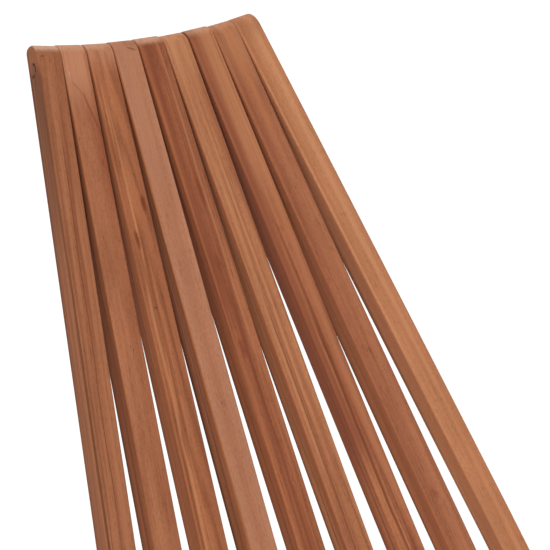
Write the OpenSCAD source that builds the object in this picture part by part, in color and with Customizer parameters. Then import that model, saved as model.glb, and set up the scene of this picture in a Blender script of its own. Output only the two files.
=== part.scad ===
// Folding lounge chair of strung sticks.
// Two fans of wooden sticks cross on one pivot rod, like the fingers of two hands.
// The back fan carries the front legs and the seat fan carries the rear legs.
// +X runs across the chair, the chair faces -Y, +Z is up and the floor is Z = 0.
// Sticks are counted from -X, which is the left of the front view.

/* [Back sticks] */
// Width of a back stick, across the fan
stick_w = 25; // [20:0.5:26]
// Thickness of a back stick, front to back
stick_d = 25; // [20:0.5:28]
// Spacing of the back sticks at their top ends
top_pitch = 25.2; // [25.2:0.1:30]
// Angle between neighbouring back sticks
fan_step = 2.41; // [2.2:0.01:2.6]
// Length of the middle back stick from its top end down to the pivot
back_len = 732; // [700:1:780]
// How far the even back sticks lie behind the odd ones
set_back = 1.5; // [0:0.1:2]
// Radius of the eased long edges of every stick
ease_r = 1.5; // [1:0.1:3]
// Radius of the rounded edge where a stick's top face turns over its end
nose_r = 17; // [6:0.5:17.5]
// Length of the rounded stub of a stick past the pivot
stub_len = 18; // [16:0.5:20]
// How much each face of a leg lies in from the stick that it grows from
leg_relief = 0.4; // [0.3:0.1:1]
// How far a leg runs past the mitre into the stick above it
leg_lap = 0.5; // [0.3:0.1:0.7]

/* [Seat sticks] */
// Width of a seat stick, across the seat
seat_w = 21; // [16:0.5:21.5]
// Thickness of a seat stick
seat_d = 25; // [20:0.5:26]
// Length of the seat from the pivot to its front ends
seat_len = 470; // [420:1:500]
// Angle between neighbouring seat sticks, narrowing to the front
seat_fan_step = 1.45; // [1.3:0.01:1.5]

/* [Side rails and legs] */
// Width of a side rail, across the chair
rail_w = 24; // [20:0.5:28]
// Thickness of a side rail
rail_d = 32; // [26:0.5:36]
// Angle of a side rail to the middle line of the chair
rail_fan = 5.6; // [4:0.1:6.5]
// Height of the pivot above the floor
pivot_z = 270; // [250:1:290]
// Slope of the front legs below the horizontal
front_leg_slope = 40; // [38:0.5:44]
// Slope of the rear legs below the horizontal
rear_leg_slope = 38; // [36:0.5:42]

/* [Angles in use] */
// Slope of the back above the horizontal
back_slope = 49.2; // [46:0.1:54]
// Rise of the seat towards the front
seat_slope = 16; // [12:0.5:20]

/* [Rods and nuts] */
// Diameter of the rod that the two fans turn on
pivot_rod_dia = 8; // [6:0.5:10]
// Diameter of the rods that string the stick ends
string_rod_dia = 6; // [5:0.5:8]
// Distance of the top rod below the top end of the middle stick
top_rod_drop = 13.5; // [12:0.5:24]
// Distance of the seat rod behind the front ends of the seat
seat_rod_inset = 34; // [26:1:60]
// Distance of the front leg rod from the pivot
leg_rod_dist = 330; // [280:1:360]
// Distance across the flats of a nut on a string rod
nut_flats = 10; // [8:0.5:10]
// Distance across the flats of a nut on the pivot rod
pivot_nut_flats = 13; // [11:0.5:15]
// Thickness of a nut
nut_t = 6; // [4:0.5:8]
// Diameter of the wooden plugs that hide the nuts of the string rods
plug_dia = 13; // [12:0.5:16]
// Diameter of the wooden plugs that hide the nuts of the pivot rod
pivot_plug_dia = 19; // [18:0.5:22]
// Thickness of a wooden plug at its middle
plug_t = 6; // [4:0.5:8]
// Outer diameter of a pivot washer
washer_dia = 16; // [14:0.5:18]
// Thickness of a pivot washer
washer_t = 3; // [1.5:0.1:3.2]
// Outer diameter of the wooden spacers on the seat rod
seat_spacer_dia = 16; // [12:0.5:20]
// Outer diameter of the wooden spacers on the leg rod
leg_spacer_dia = 18; // [14:0.5:20]

/* [Seat bearer and rear stretcher] */
// Length of the bevelled bar that the seat rests on
bearer_len = 412; // [406:1:440]
// Distance of the bearer from the pivot
bearer_start = 40; // [36:1:44]
// Depth of the bearer, from its thin side to its thick side
bearer_depth = 27; // [24:1:34]
// Depth that the bearer is let over the front legs
bearer_housing = 1.5; // [0.5:0.5:3]
// Distance of the rear stretcher from the pivot
stretcher_dist = 320; // [250:1:340]
// Width of the rear stretcher, along the leg
stretcher_w = 45; // [36:1:55]
// Thickness of the rear stretcher
stretcher_t = 18; // [14:1:24]
// Diameter of a wood screw's shank
screw_dia = 5; // [4:0.5:6]
// Diameter of a wood screw's head
screw_head_dia = 9; // [8:0.5:10]
// Thickness of a wood screw's head
screw_head_t = 3; // [2:0.5:4]
// Depth that a wood screw reaches into the piece behind
screw_reach = 15; // [10:1:18]

/* [Glides] */
// Thickness of the plastic glide under each leg
glide_t = 3; // [2:0.5:5]
// Diameter of a glide
glide_dia = 20; // [16:1:22]
// Diameter of the stem that holds a glide in the leg
stem_dia = 4; // [3:0.5:6]
// Depth of the hole for that stem
stem_len = 14; // [8:1:20]
// Space left above the stem in its hole
stem_space = 1; // [0.5:0.5:3]

/* [Clearances] */
// Gap between the outer back stick and the side rail at the pivot
rail_gap = 5; // [5:0.1:8]
// Radial clearance of every rod, plug and screw in its hole
fit = 0.05; // [0.02:0.01:0.08]
// Gap left between the resting seat and its bearer
rest_gap = 0.3; // [0.3:0.1:1]

/* [Hidden] */
$fn = 48;
back_count = 9;
seat_count = 8;
back_mid = (back_count - 1) / 2;
seat_mid = (seat_count - 1) / 2;
// The back sticks point at one apex above the chair, this far above their top ends
apex_above = top_pitch / (fan_step * PI / 180);
apex_v = back_len + apex_above;
// Bends of the sticks at the pivot
front_bend = back_slope - front_leg_slope;
rear_bend = rear_leg_slope - seat_slope;
// Reach of the object in front of and behind the pivot, for its middle in Y
outer_fan = back_mid * fan_step;
back_tip = apex_v - (apex_above + ease_r) * cos(outer_fan) + (stick_w / 2 - ease_r) * sin(outer_fan) + ease_r;
rail_tip = seat_len - ease_r * cos(rail_fan) + (rail_w / 2 - ease_r) * sin(rail_fan) + ease_r;
reach_back = back_tip * cos(back_slope) + stick_d / 2 * sin(back_slope);
reach_front = rail_tip * cos(seat_slope) + rail_d / 2 * sin(seat_slope);
pivot_y = (reach_front - reach_back) / 2;
// The front leg rod and the rear stretcher in the planes of the back and the seat
leg_rod_v = -leg_rod_dist * cos(front_bend);
leg_rod_n = leg_rod_dist * sin(front_bend) - set_back;
top_rod_v = back_len - top_rod_drop;
seat_rod_s = seat_len - seat_rod_inset;
rod_end_depth = nut_t + plug_t;
// Sections of the front legs and of the rear legs
leg_w = stick_w - 2 * leg_relief;
leg_d = stick_d - 2 * leg_relief;
rear_leg_w = rail_w - 2 * leg_relief;
// Length that is longer than any piece, and how far a cut runs past the face it starts at
far = 2000;
overrun = 1;

// Fan angle and place on the pivot of back stick n, seat stick n and a side rail
function back_fan(n) = (n - 1 - back_mid) * fan_step;
function back_x(n) = apex_v * tan(back_fan(n));
function back_stick_len(n) = apex_v / cos(back_fan(n)) - apex_above;
function is_leg(n) = n % 2 == 0;
function back_shift(n) = is_leg(n) ? -set_back : 0;
function seat_fan(n) = (n - 1 - seat_mid) * seat_fan_step;
function seat_x(n) = (back_x(n) + back_x(n + 1)) / 2;
function half_x(w, fan) = w / 2 / cos(fan);
function rail_x() = back_x(back_count) + half_x(stick_w, outer_fan) + rail_gap + half_x(rail_w, rail_fan);

// Outer faces across the chair at the four rods
function top_rod_face() = back_x(back_count) - top_rod_v * tan(outer_fan) + half_x(stick_w, outer_fan);
function leg_rod_face() = back_x(back_count - 1) - leg_rod_v * tan(back_fan(back_count - 1))
    + half_x(leg_w, back_fan(back_count - 1));
function pivot_face() = rail_x() + half_x(rail_w, rail_fan);
function seat_rod_face() = pivot_face() - seat_rod_s * tan(rail_fan);

// Plane of the back: X across, Y up the back, Z towards the sitter, zero on the pivot
module back_plane() {
    translate([0, pivot_y, pivot_z])
        rotate([back_slope, 0, 0])
            children();
}

// Plane of the seat: X across, Y to the front, Z to the underside, zero on the pivot
module seat_plane() {
    translate([0, pivot_y, pivot_z])
        rotate([180 - seat_slope, 0, 0])
            children();
}

module on_back_stick(n) {
    back_plane()
        translate([back_x(n), 0, back_shift(n)])
            rotate([0, 0, back_fan(n)])
                children();
}

module on_seat_stick(n) {
    seat_plane()
        translate([seat_x(n), 0, 0])
            rotate([0, 0, seat_fan(n)])
                children();
}

module on_rail(side) {
    seat_plane()
        translate([side * rail_x(), 0, 0])
            rotate([0, 0, side * rail_fan])
                children();
}

// Section of a stick with eased corners
module eased_section(w, d) {
    square([w - 2 * ease_r, d], center = true);
    square([w, d - 2 * ease_r], center = true);
    for (x = [-1, 1], y = [-1, 1])
        translate([x * (w / 2 - ease_r), y * (d / 2 - ease_r)])
            circle(r = ease_r);
}

// Straight length of stick along Y
module straight(w, d, from, to) {
    translate([0, from, 0])
        rotate([-90, 0, 0])
            linear_extrude(height = to - from)
                eased_section(w, d);
}

// Half of an eased section, from its middle out to the distance r
module end_profile(w, r) {
    intersection() {
        eased_section(2 * r, w);
        translate([0, -w / 2])
            square([2 * r, w]);
    }
}

// Half-round end that closes a stick towards +Y
module round_end(w, d) {
    rotate([0, 90, 0])
        rotate_extrude(angle = 180)
            end_profile(w, d / 2);
}

// Square-cut end that closes a stick towards +Y, with the edge of its top face rounded.
// The top face is the one at +Z where up is 1, and the one at -Z where it is -1.
module nosed_end(w, d, up) {
    mirror([0, 0, up < 0 ? 1 : 0]) {
        translate([0, 0, d / 2 - nose_r])
            rotate([0, 90, 0])
                rotate([0, 0, 90])
                    rotate_extrude(angle = 90)
                        end_profile(w, nose_r);
        translate([0, 0, -d / 2])
            linear_extrude(height = d - nose_r)
                rotate(90)
                    end_profile(w, nose_r);
    }
}

// Straight stick with a nosed end in front and a half-round stub behind
module plain_stick(w, d, from, to, up) {
    straight(w, d, from + d / 2, to - nose_r);
    translate([0, to - nose_r, 0])
        nosed_end(w, d, up);
    translate([0, from + d / 2, 0])
        mirror([0, 1, 0])
            round_end(w, d);
}

// Stick that is bent at the pivot by the angle bend, towards +Z below the pivot.
// The two lengths meet on a mitre, and the leg runs into the stick above it.
module bent_stick(w, d, to, tail, bend, up) {
    difference() {
        straight(w, d, -d, to - nose_r);
        rotate([-bend / 2, 0, 0])
            translate([-w, -3 * d, -2 * d])
                cube([2 * w, 3 * d, 4 * d]);
    }
    translate([0, to - nose_r, 0])
        nosed_end(w, d, up);
    difference() {
        rotate([-bend, 0, 0])
            straight(w - 2 * leg_relief, d - 2 * leg_relief, -tail, d);
        rotate([-bend / 2, 0, 0])
            translate([-w, leg_lap, -2 * d])
                cube([2 * w, 3 * d, 4 * d]);
    }
}

// Everything below the top of the glides
module below_glides() {
    translate([-far / 2, -far / 2, -far])
        cube([far, far, far + glide_t]);
}

// Cylinder along X between two places
module x_pin(from, to, r) {
    translate([from, 0, 0])
        rotate([0, 90, 0])
            cylinder(h = to - from, r = r);
}

// Bore along X through the whole chair
module x_bore(r) {
    x_pin(-far / 4, far / 4, r);
}

// Slab between the two side faces of a stick of width w
module slab(w) {
    translate([-w / 2, -far / 2, -far / 4])
        cube([w, far, far / 2]);
}

// Places of the four rods
module at_pivot() {
    translate([0, pivot_y, pivot_z])
        children();
}

module at_top_rod() {
    back_plane()
        translate([0, top_rod_v, 0])
            children();
}

module at_leg_rod() {
    back_plane()
        translate([0, leg_rod_v, leg_rod_n])
            children();
}

module at_seat_rod() {
    seat_plane()
        translate([0, seat_rod_s, 0])
            children();
}

// Pocket for a nut and its plug in an outer face, on both sides
module end_pockets(face, plug) {
    for (side = [0, 1])
        mirror([side, 0, 0])
            x_pin(face - rod_end_depth, face + plug, plug / 2 + fit);
}

// Rod from nut to nut
module strung_rod(face, dia) {
    x_pin(-(face - plug_t), face - plug_t, dia / 2);
}

// Nuts at the two ends of a rod
module rod_nuts(face, dia, flats) {
    for (side = [0, 1])
        mirror([side, 0, 0])
            difference() {
                translate([face - rod_end_depth, 0, 0])
                    rotate([0, 90, 0])
                        cylinder(h = nut_t, r = flats / 2 / cos(30), $fn = 6);
                x_pin(face - rod_end_depth - overrun, face, dia / 2 + fit);
            }
}

// Plug blanks at the two ends of a rod, before they are cut flush
module plug_blanks(face, plug) {
    for (side = [0, 1])
        mirror([side, 0, 0])
            x_pin(face - plug_t, face + plug, plug / 2);
}

// Foot of front leg n on the floor plane, and of a rear leg, measured down its middle line
function front_leg_t(n) = (pivot_z - glide_t - set_back * cos(back_slope))
    / (cos(front_bend) * cos(back_fan(n)) * sin(back_slope) - sin(front_bend) * cos(back_slope));
function rear_leg_t() = (pivot_z - glide_t)
    / (cos(rear_bend) * cos(rail_fan) * sin(seat_slope) + sin(rear_bend) * cos(seat_slope));

// Middle of the foot of front leg n, and of the rear leg at +X
function front_foot(n) = [
    back_x(n) + front_leg_t(n) * cos(front_bend) * sin(back_fan(n)),
    pivot_y - front_leg_t(n) * (cos(front_bend) * cos(back_fan(n)) * cos(back_slope)
        + sin(front_bend) * sin(back_slope)) + set_back * sin(back_slope),
    glide_t
];
function rear_foot() = [
    rail_x() + rear_leg_t() * cos(rear_bend) * sin(rail_fan),
    pivot_y + rear_leg_t() * (cos(rear_bend) * cos(rail_fan) * cos(seat_slope)
        - sin(rear_bend) * sin(seat_slope)),
    glide_t
];

module stem_hole(foot) {
    translate([foot[0], foot[1], glide_t - overrun])
        cylinder(h = stem_len + overrun, r = stem_dia / 2 + fit);
}

// Round glide with a stem that is pressed into the leg
module glide(foot) {
    translate([foot[0], foot[1], 0]) {
        cylinder(h = glide_t, r = glide_dia / 2);
        cylinder(h = glide_t + stem_len - stem_space, r = stem_dia / 2);
    }
}

// Back stick n: the even ones run on below the pivot as front legs
module back_slat(n) {
    color("#a8663f")
        difference() {
            on_back_stick(n)
                if (is_leg(n))
                    bent_stick(stick_w, stick_d, back_stick_len(n), leg_rod_dist * 2, front_bend, 1);
                else
                    plain_stick(stick_w, stick_d, -stub_len, back_stick_len(n), 1);
            at_pivot()
                x_bore(pivot_rod_dia / 2 + fit);
            at_top_rod()
                x_bore(string_rod_dia / 2 + fit);
            if (n == 1 || n == back_count)
                at_top_rod()
                    end_pockets(top_rod_face(), plug_dia);
            if (is_leg(n)) {
                below_glides();
                stem_hole(front_foot(n));
                screw_hole(n);
                at_leg_rod()
                    x_bore(string_rod_dia / 2 + fit);
            }
            if (n == 2 || n == back_count - 1)
                at_leg_rod()
                    end_pockets(leg_rod_face(), plug_dia);
        }
}

// Seat stick n, with a nosed end at the front and a short round stub behind the pivot
module seat_slat(n) {
    color("#ab6b43")
        difference() {
            on_seat_stick(n)
                plain_stick(seat_w, seat_d, -stub_len, seat_len / cos(seat_fan(n)), -1);
            at_pivot()
                x_bore(pivot_rod_dia / 2 + fit);
            at_seat_rod()
                x_bore(string_rod_dia / 2 + fit);
        }
}

// Side rail: the outer stick of the seat, bent at the pivot into a rear leg
module side_rail(side) {
    color("#9f5e3a")
        difference() {
            on_rail(side)
                bent_stick(rail_w, rail_d, seat_len / cos(rail_fan), stretcher_dist * 2, rear_bend, -1);
            at_pivot() {
                x_bore(pivot_rod_dia / 2 + fit);
                end_pockets(pivot_face(), pivot_plug_dia);
            }
            at_seat_rod() {
                x_bore(string_rod_dia / 2 + fit);
                end_pockets(seat_rod_face(), plug_dia);
            }
            below_glides();
            mirror([side < 0 ? 1 : 0, 0, 0]) {
                stem_hole(rear_foot());
                stretcher_screw_holes();
            }
        }
}

module pivot_rod() {
    color("silver")
        at_pivot()
            strung_rod(pivot_face(), pivot_rod_dia);
}

// Washers on both faces of each seat stick and on the inner faces of the rails
module pivot_washers() {
    color("#c9c4ba") {
        for (n = [1 : seat_count])
            difference() {
                at_pivot()
                    x_pin(
                        seat_x(n) - half_x(seat_w, seat_fan(n)) - washer_t,
                        seat_x(n) + half_x(seat_w, seat_fan(n)) + washer_t,
                        washer_dia / 2
                    );
                on_seat_stick(n)
                    slab(seat_w);
                at_pivot()
                    x_bore(pivot_rod_dia / 2 + fit);
            }
        for (side = [0, 1])
            mirror([side, 0, 0])
                difference() {
                    at_pivot()
                        x_pin(rail_x() - half_x(rail_w, rail_fan) - washer_t, rail_x(), washer_dia / 2);
                    on_rail(1)
                        slab(rail_w);
                    at_pivot()
                        x_bore(pivot_rod_dia / 2 + fit);
                }
    }
}

module pivot_nuts() {
    color("silver")
        at_pivot()
            rod_nuts(pivot_face(), pivot_rod_dia, pivot_nut_flats);
}

// Plugs over the nuts, cut flush with the outer faces of the rails
module rail_plugs() {
    intersection() {
        children();
        for (side = [-1, 1])
            on_rail(side)
                slab(rail_w);
    }
}

module pivot_plugs() {
    color("#8f5232")
        rail_plugs()
            at_pivot()
                plug_blanks(pivot_face(), pivot_plug_dia);
}

module top_rod() {
    color("silver")
        at_top_rod()
            strung_rod(top_rod_face(), string_rod_dia);
}

module top_rod_nuts() {
    color("silver")
        at_top_rod()
            rod_nuts(top_rod_face(), string_rod_dia, nut_flats);
}

// Plugs cut flush with the outer faces of stick n and its mirror image
module stick_plugs(n, w) {
    intersection() {
        children();
        for (m = [n, back_count + 1 - n])
            on_back_stick(m)
                slab(w);
    }
}

module top_rod_plugs() {
    color("#8f5232")
        stick_plugs(1, stick_w)
            at_top_rod()
                plug_blanks(top_rod_face(), plug_dia);
}

module seat_front_rod() {
    color("silver")
        at_seat_rod()
            strung_rod(seat_rod_face(), string_rod_dia);
}

// Spacers between the seat sticks, cut to their faces
module seat_front_spacers() {
    color("#a8663f")
        difference() {
            at_seat_rod()
                x_pin(-seat_rod_face() + rail_w / 2, seat_rod_face() - rail_w / 2, seat_spacer_dia / 2);
            for (n = [1 : seat_count])
                on_seat_stick(n)
                    slab(seat_w);
            for (side = [-1, 1])
                on_rail(side)
                    slab(rail_w);
            at_seat_rod()
                x_bore(string_rod_dia / 2 + fit);
        }
}

module seat_front_nuts() {
    color("silver")
        at_seat_rod()
            rod_nuts(seat_rod_face(), string_rod_dia, nut_flats);
}

module seat_front_plugs() {
    color("#8f5232")
        rail_plugs()
            at_seat_rod()
                plug_blanks(seat_rod_face(), plug_dia);
}

module leg_rod() {
    color("silver")
        at_leg_rod()
            strung_rod(leg_rod_face(), string_rod_dia);
}

// Spacers between the front legs, cut to their faces
module leg_rod_spacers() {
    color("#a8663f")
        difference() {
            at_leg_rod()
                x_pin(-leg_rod_face() + stick_w / 2, leg_rod_face() - stick_w / 2, leg_spacer_dia / 2);
            for (n = [2 : 2 : back_count - 1])
                on_back_stick(n)
                    slab(leg_w);
            at_leg_rod()
                x_bore(string_rod_dia / 2 + fit);
        }
}

module leg_rod_nuts() {
    color("silver")
        at_leg_rod()
            rod_nuts(leg_rod_face(), string_rod_dia, nut_flats);
}

module leg_rod_plugs() {
    color("#8f5232")
        stick_plugs(2, leg_w)
            at_leg_rod()
                plug_blanks(leg_rod_face(), plug_dia);
}

// Plane of the front leg's upper face: Y back up the leg, Z out of the face, zero on the pivot
module leg_plane() {
    back_plane()
        rotate([-front_bend, 0, 0])
            children();
}

// Angle between the front legs and the seat, and the corner where their faces meet
wedge = front_leg_slope + seat_slope;
leg_face_n = leg_d / 2 - set_back - bearer_housing;
seat_face_n = seat_d / 2 + rest_gap;
bearer_end = bearer_start + bearer_depth;
// Height over the leg's middle plane of the bearer's top face at the distance t down the leg
function bearer_top(t) = t * tan(wedge) - seat_face_n / cos(wedge);
screw_t = bearer_start + bearer_depth / 2;
screw_seat_n = bearer_top(bearer_start);

// Bevelled bar under the seat sticks, let over the front legs
module seat_bearer() {
    color("#9b5c38")
        difference() {
            leg_plane()
                translate([-bearer_len / 2, 0, 0])
                    rotate([90, 0, 90])
                        linear_extrude(height = bearer_len)
                            polygon([
                                [-bearer_start, leg_face_n],
                                [-bearer_end, leg_face_n],
                                [-bearer_end, bearer_top(bearer_end)],
                                [-bearer_start, bearer_top(bearer_start)]
                            ]);
            for (n = [2 : 2 : back_count - 1]) {
                on_back_stick(n)
                    rotate([-front_bend, 0, 0])
                        translate([-leg_w / 2, -far / 4, -leg_d / 2])
                            cube([leg_w, far / 4, leg_d]);
                screw_hole(n);
            }
        }
}

// Axis of the bearer screw in front leg n, pointing out of the leg
module at_bearer_screw(n) {
    leg_plane()
        translate([back_x(n) + screw_t * sin(back_fan(n)), -screw_t, 0])
            children();
}

module screw_hole(n) {
    at_bearer_screw(n) {
        translate([0, 0, leg_d / 2 - screw_reach])
            cylinder(h = screw_seat_n + screw_reach, r = screw_dia / 2 + fit);
        translate([0, 0, screw_seat_n])
            cylinder(h = far / 10, r = screw_head_dia / 2 + fit);
    }
}

module bearer_screws() {
    color("silver")
        for (n = [2 : 2 : back_count - 1])
            at_bearer_screw(n) {
                translate([0, 0, leg_d / 2 - screw_reach])
                    cylinder(h = screw_seat_n + screw_reach - leg_d / 2, r = screw_dia / 2);
                translate([0, 0, screw_seat_n])
                    cylinder(h = screw_head_t, r = screw_head_dia / 2);
            }
}

// Plane of the rear legs: Y up the leg to the pivot, Z to its underside
module rear_leg_plane() {
    seat_plane()
        rotate([-rear_bend, 0, 0])
            children();
}

function rear_leg_x(t) = rail_x() + t * cos(rear_bend) * tan(rail_fan);

// Flat bar between the rear legs, cut to their inner faces
module rear_stretcher() {
    color("#9b5c38")
        difference() {
            rear_leg_plane()
                translate([-rear_leg_x(stretcher_dist), -stretcher_dist - stretcher_w / 2, -stretcher_t / 2])
                    cube([2 * rear_leg_x(stretcher_dist), stretcher_w, stretcher_t]);
            for (side = [-1, 1])
                on_rail(side)
                    slab(rear_leg_w);
            for (side = [0, 1])
                mirror([side, 0, 0])
                    stretcher_screw_holes();
        }
}

// Axes of the two screws through the rear leg at +X into the stretcher
module at_stretcher_screws() {
    for (y = [-1, 1])
        rear_leg_plane()
            translate([rear_leg_x(stretcher_dist) + y * stretcher_w / 4 * tan(-rail_fan),
                    -stretcher_dist + y * stretcher_w / 4, 0])
                rotate([0, 90, 0])
                    children();
}

module stretcher_screw_holes() {
    at_stretcher_screws() {
        translate([0, 0, -rail_w / 2 - 2 * screw_reach])
            cylinder(h = 2 * screw_reach + rail_w, r = screw_dia / 2 + fit);
        translate([0, 0, rail_w / 2 - 3 * screw_head_t])
            cylinder(h = rail_w, r = screw_head_dia / 2 + fit);
    }
}

module stretcher_screws() {
    color("silver")
        for (side = [0, 1])
            mirror([side, 0, 0])
                at_stretcher_screws() {
                    translate([0, 0, -rail_w / 2 - 2 * screw_reach])
                        cylinder(h = 2 * screw_reach + rail_w - 3 * screw_head_t, r = screw_dia / 2);
                    translate([0, 0, rail_w / 2 - 3 * screw_head_t])
                        cylinder(h = screw_head_t, r = screw_head_dia / 2);
                }
}

module front_glides() {
    color("#3a3330")
        for (n = [2 : 2 : back_count - 1])
            glide(front_foot(n));
}

module rear_glides() {
    color("#3a3330")
        for (side = [0, 1])
            mirror([side, 0, 0])
                glide(rear_foot());
}

back_slat(1);  // back_slat_1
back_slat(2);  // back_slat_2
back_slat(3);  // back_slat_3
back_slat(4);  // back_slat_4
back_slat(5);  // back_slat_5
back_slat(6);  // back_slat_6
back_slat(7);  // back_slat_7
back_slat(8);  // back_slat_8
back_slat(9);  // back_slat_9
seat_slat(1);  // seat_slat_1
seat_slat(2);  // seat_slat_2
seat_slat(3);  // seat_slat_3
seat_slat(4);  // seat_slat_4
seat_slat(5);  // seat_slat_5
seat_slat(6);  // seat_slat_6
seat_slat(7);  // seat_slat_7
seat_slat(8);  // seat_slat_8
side_rail(-1);  // side_rail_left
side_rail(1);  // side_rail_right
pivot_rod();
pivot_washers();
pivot_nuts();
pivot_plugs();
top_rod();
top_rod_nuts();
top_rod_plugs();
seat_front_rod();
seat_front_spacers();
seat_front_nuts();
seat_front_plugs();
leg_rod();
leg_rod_spacers();
leg_rod_nuts();
leg_rod_plugs();
seat_bearer();
bearer_screws();
rear_stretcher();
stretcher_screws();
front_glides();
rear_glides();
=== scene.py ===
import math

import bmesh
import bpy
from mathutils import Matrix, Vector


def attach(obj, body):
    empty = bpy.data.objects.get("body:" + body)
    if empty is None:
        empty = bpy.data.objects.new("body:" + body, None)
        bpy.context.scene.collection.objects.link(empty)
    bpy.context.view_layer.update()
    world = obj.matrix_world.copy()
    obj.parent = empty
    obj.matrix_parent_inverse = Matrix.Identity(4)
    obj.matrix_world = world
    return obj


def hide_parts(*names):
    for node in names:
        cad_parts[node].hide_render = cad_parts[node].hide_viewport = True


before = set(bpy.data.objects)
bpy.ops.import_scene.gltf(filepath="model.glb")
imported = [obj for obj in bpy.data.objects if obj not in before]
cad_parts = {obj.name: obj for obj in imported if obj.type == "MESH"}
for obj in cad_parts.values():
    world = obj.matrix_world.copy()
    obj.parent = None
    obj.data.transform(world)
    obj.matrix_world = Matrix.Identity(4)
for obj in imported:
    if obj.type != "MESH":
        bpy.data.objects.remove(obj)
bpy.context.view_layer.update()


# Camera. The photograph is a close view of the upper back, from the front left and a
# little above, through a long lens. The picture is turned by about one degree.
eye = Vector((-3.1530, -5.6347, 3.0911))
looked_at = Vector((0.04722, 0.28997, 0.64667))
picture_turn = math.radians(1.044)
ahead = (looked_at - eye).normalized()
level = ahead.cross(Vector((0, 0, 1))).normalized()
upright = level.cross(ahead)
picture_right = math.cos(picture_turn) * level + math.sin(picture_turn) * upright
picture_up = math.cos(picture_turn) * upright - math.sin(picture_turn) * level
camera = bpy.data.objects.new("camera", bpy.data.cameras.new("camera"))
camera.data.sensor_width = 36
camera.data.lens = 523.636
camera.data.clip_end = 200
camera.matrix_world = (
    Matrix.Translation(eye)
    @ Matrix((picture_right, picture_up, -ahead)).transposed().to_4x4()
)
bpy.context.scene.collection.objects.link(camera)
bpy.context.scene.camera = camera


# Studio. A plain white floor under a white sky, a large soft lamp at the front left, and a
# second one high behind the chair that brings out the round top ends of the sticks.
def tone(red, green, blue):
    """A colour written as it looks on screen, 0 to 255, in the shader's own scale."""
    return tuple(
        c / 255 / 12.92 if c <= 10 else ((c / 255 + 0.055) / 1.055) ** 2.4
        for c in (red, green, blue)
    ) + (1.0,)


def put(tree, kind, values=None, **settings):
    """A node of this kind, with its settings, and its values or what feeds them."""
    made = tree.nodes.new("ShaderNode" + kind)
    for name, value in settings.items():
        setattr(made, name, value)
    for name, value in (values or {}).items():
        if isinstance(value, bpy.types.NodeSocket):
            tree.links.new(value, made.inputs[name])
        else:
            made.inputs[name].default_value = value
    return made


def calc(tree, operation, a, b=0.0):
    return put(tree, "Math", {0: a, 1: b}, operation=operation).outputs[0]


def seen_directly(tree):
    """1 where the camera, a gloss or a clear thing looks at the surface."""
    path = put(tree, "LightPath").outputs
    either = calc(tree, "MAXIMUM", path["Is Camera Ray"], path["Is Glossy Ray"])
    return calc(tree, "MAXIMUM", either, path["Is Transmission Ray"])


def blank_material(name):
    """A material without nodes, and the tree to put them in."""
    material = bpy.data.materials.new(name)
    material.use_nodes = True
    material.node_tree.nodes.clear()
    return material, material.node_tree


floor_finish, tree = blank_material("white_floor")
floor_paint = put(tree, "BsdfDiffuse", {"Color": (0.86, 0.86, 0.86, 1)})
floor_glow = put(tree, "Emission", {"Color": (1, 1, 1, 1), "Strength": 1.12})
glow_share = calc(tree, "MULTIPLY", seen_directly(tree), 0.8)
floor_mix = put(
    tree, "MixShader", {0: glow_share, 1: floor_paint.outputs[0], 2: floor_glow.outputs[0]}
)
put(tree, "OutputMaterial", {"Surface": floor_mix.outputs[0]})


def add_mesh(name, shape):
    """Turns a finished shape into an object of the scene."""
    piece = bpy.data.objects.new(name, bpy.data.meshes.new(name))
    shape.to_mesh(piece.data)
    shape.free()
    bpy.context.scene.collection.objects.link(piece)
    return piece


floor_shape = bmesh.new()
bmesh.ops.create_circle(floor_shape, cap_ends=True, radius=60, segments=96)
floor = add_mesh("floor", floor_shape)
floor.data.materials.append(floor_finish)
floor.location.z = -0.0002

sky = bpy.data.worlds.new("sky")
sky.use_nodes = True
tree = sky.node_tree
tree.nodes.clear()
sky_light = put(tree, "Background", {"Color": (1, 1, 1, 1), "Strength": 0.50})
sky_white = put(tree, "Background", {"Color": (1, 1, 1, 1), "Strength": 1.0})
sky_mix = put(
    tree, "MixShader",
    {0: seen_directly(tree), 1: sky_light.outputs[0], 2: sky_white.outputs[0]},
)
put(tree, "OutputWorld", {"Surface": sky_mix.outputs[0]})
bpy.context.scene.world = sky


def soft_lamp(name, place, aim, size, power):
    """A square soft lamp at a place, turned to what it lights."""
    lamp = bpy.data.objects.new(name, bpy.data.lights.new(name, "AREA"))
    lamp.data.size = size
    lamp.data.energy = power
    lamp.location = place
    lamp.rotation_mode = "QUATERNION"
    lamp.rotation_quaternion = (Vector(aim) - Vector(place)).to_track_quat("-Z", "Y")
    bpy.context.scene.collection.objects.link(lamp)


soft_lamp("front_lamp", (-2.7, -3.5, 2.5), (0, 0, 0.45), 2.2, 155)
soft_lamp("back_lamp", (0.4, 3.1, 3.5), (0, 0.3, 0.6), 2.0, 85)

bpy.context.scene.view_settings.view_transform = "Standard"


# Back sticks. Nine sticks of oiled hardwood, planed square, with eased long edges and top
# ends sawn square and rounded broadly in front. The odd ones end in a round stub just past
# the pivot rod, and the even ones are sawn to a bend there and run on as front legs.
def effect(name, takes, gives):
    """An empty shader group, with what goes into it and what comes out."""
    group = bpy.data.node_groups.new(name, "ShaderNodeTree")
    for label, kind in takes:
        group.interface.new_socket(label, in_out="INPUT", socket_type="NodeSocket" + kind)
    for label, kind in gives:
        group.interface.new_socket(label, in_out="OUTPUT", socket_type="NodeSocket" + kind)
    taken = group.nodes.new("NodeGroupInput").outputs
    return group, taken, group.nodes.new("NodeGroupOutput").inputs


def plus(tree, a, b):
    return calc(tree, "ADD", a, b)


def minus(tree, a, b):
    return calc(tree, "SUBTRACT", a, b)


def times(tree, a, b):
    return calc(tree, "MULTIPLY", a, b)


def vector_calc(tree, operation, a, b):
    return put(tree, "VectorMath", {0: a, 1: b}, operation=operation).outputs[0]


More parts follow.
